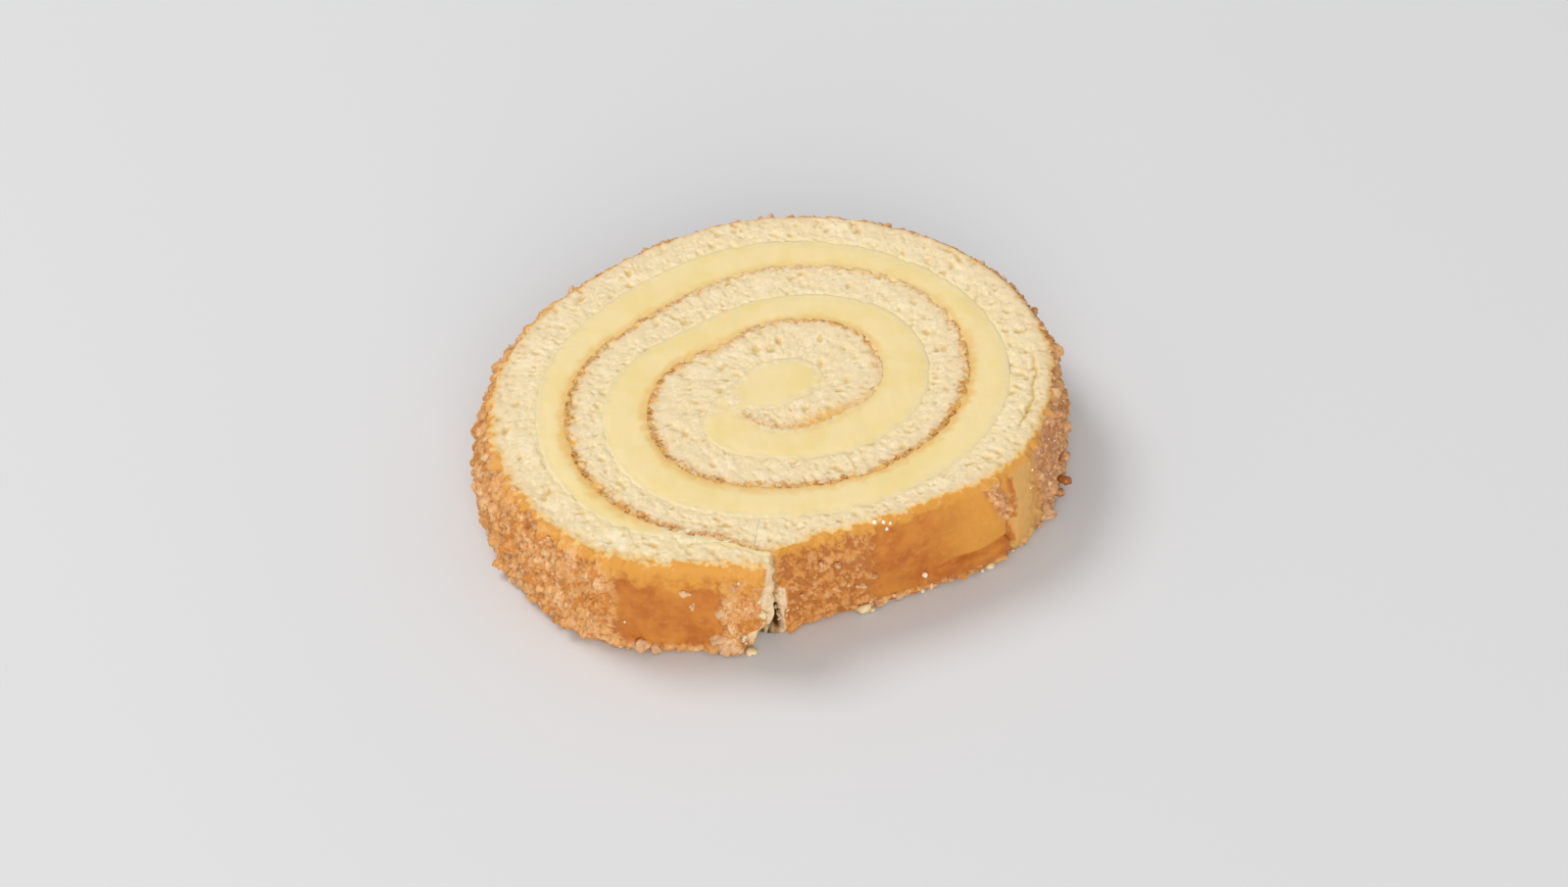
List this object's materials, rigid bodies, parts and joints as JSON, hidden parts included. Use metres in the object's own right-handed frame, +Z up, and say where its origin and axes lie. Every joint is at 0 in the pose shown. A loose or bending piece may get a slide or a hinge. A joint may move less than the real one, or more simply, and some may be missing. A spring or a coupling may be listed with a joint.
{
  "type": "swiss roll cake slice",
  "caption": "Slice of a rolled sponge cake with a browned crust and a spiral of lemon cream filling, lying flat with its cut face up.",
  "frame": {"origin": "centre of the bounding box, on the flat cut face that the slice lies on", "axes": "+Z up, out of the upper cut face; +X along the slice's longest side; the loose end of the rolled sheet faces -Y"},
  "size_m": [0.1032, 0.0964, 0.019],
  "materials": {
    "sponge": "matt open crumb, with a browned crust on the outer side",
    "filling": "smooth satin cream"
  },
  "bodies": {
    "root": {"sponge": "sponge", "filling": "filling"}
  },
  "joints": []
}
